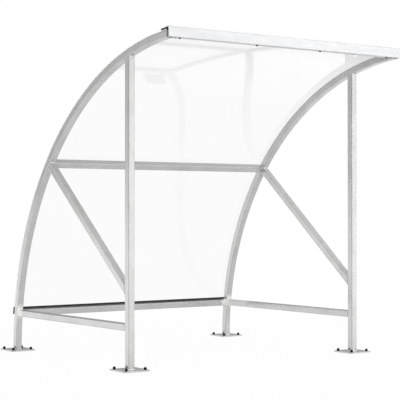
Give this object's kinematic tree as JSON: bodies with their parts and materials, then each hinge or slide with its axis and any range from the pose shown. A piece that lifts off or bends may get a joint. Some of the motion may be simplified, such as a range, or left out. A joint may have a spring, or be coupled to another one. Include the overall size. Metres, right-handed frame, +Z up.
{
  "type": "bike shelter",
  "caption": "Open-fronted bike shelter: curved galvanised tube hoops, braced front posts, cross rails and bolt-down base plates under a clear bent roof sheet with a folded fascia.",
  "frame": {"origin": "on the ground at the middle of the footprint", "axes": "+X to the right seen from the open front, +Y to the back, +Z up"},
  "size_m": [2.2, 2.2, 2.2559],
  "materials": {
    "galvanised_steel": "hot-dip galvanised, satin, faint spangle",
    "fascia_steel": "bright galvanised sheet, satin",
    "dark_strip": "matt black",
    "clear_sheet": "clear, glossy"
  },
  "bodies": {
    "root": {"left_hoop": "galvanised_steel", "right_hoop": "galvanised_steel", "left_hoop_cap": "galvanised_steel", "right_hoop_cap": "galvanised_steel", "left_front_post": "galvanised_steel", "right_front_post": "galvanised_steel", "left_side_rail": "galvanised_steel", "right_side_rail": "galvanised_steel", "left_brace": "galvanised_steel", "right_brace": "galvanised_steel", "left_front_base_plate": "galvanised_steel", "right_front_base_plate": "galvanised_steel", "left_rear_base_plate": "galvanised_steel", "right_rear_base_plate": "galvanised_steel", "rear_lower_rail": "galvanised_steel", "rear_middle_rail": "galvanised_steel", "front_fascia": "fascia_steel", "rear_sill_strip": "dark_strip", "rear_edge_strip": "dark_strip", "front_edge_strip": "dark_strip", "roof_sheet": "clear_sheet"}
  },
  "joints": []
}
